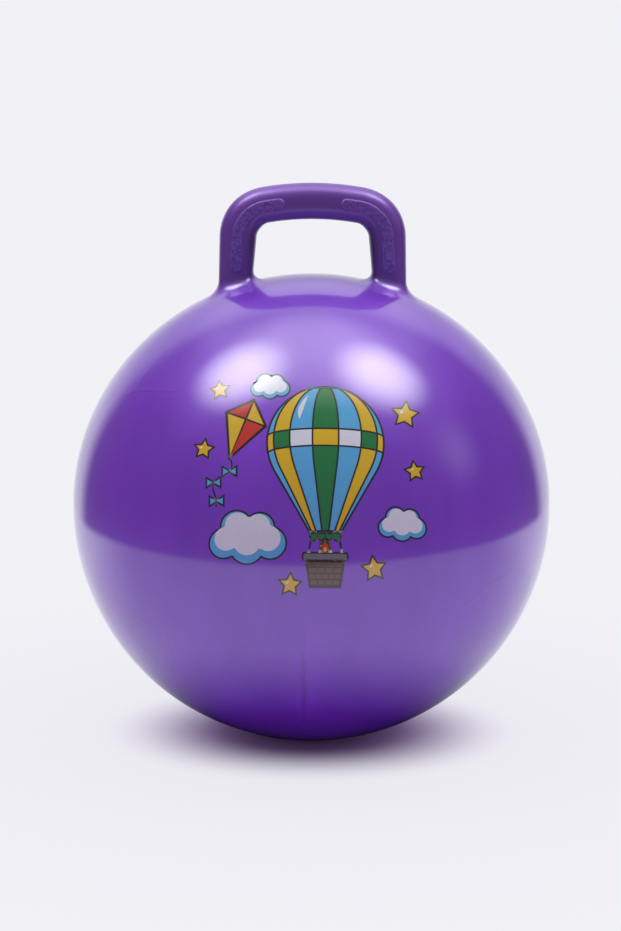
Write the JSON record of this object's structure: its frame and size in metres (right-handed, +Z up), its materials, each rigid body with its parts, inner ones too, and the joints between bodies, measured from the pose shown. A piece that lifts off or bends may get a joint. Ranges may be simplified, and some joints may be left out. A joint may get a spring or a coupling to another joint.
{
  "type": "hopper ball",
  "caption": "Inflated vinyl bouncing ball with a hollow carrying loop on its crown, raised grip pads on the loop and a plugged air valve.",
  "frame": {"origin": "centre of the flat foot that the ball stands on", "axes": "+Z up through the crown and the middle of the loop's bar, X along the bar, -Y towards the printed front"},
  "size_m": [0.45, 0.45, 0.5242],
  "materials": {
    "ball_vinyl": "gloss",
    "loop_vinyl": "satin",
    "grip_vinyl": "matte",
    "plug_white": "gloss"
  },
  "bodies": {
    "ball": {"ball_skin": "ball_vinyl", "handle_loop": "loop_vinyl", "front_left_grip": "grip_vinyl", "front_right_grip": "grip_vinyl", "rear_left_grip": "grip_vinyl", "rear_right_grip": "grip_vinyl", "valve_seat": "ball_vinyl"},
    "plug": {"valve_plug": "plug_white"}
  },
  "joints": [
    {"name": "plug_pull", "type": "slide", "parent": "ball", "child": "plug", "axis": [0, 0.5, 0.866], "range_m": [0, 0.03]}
  ]
}
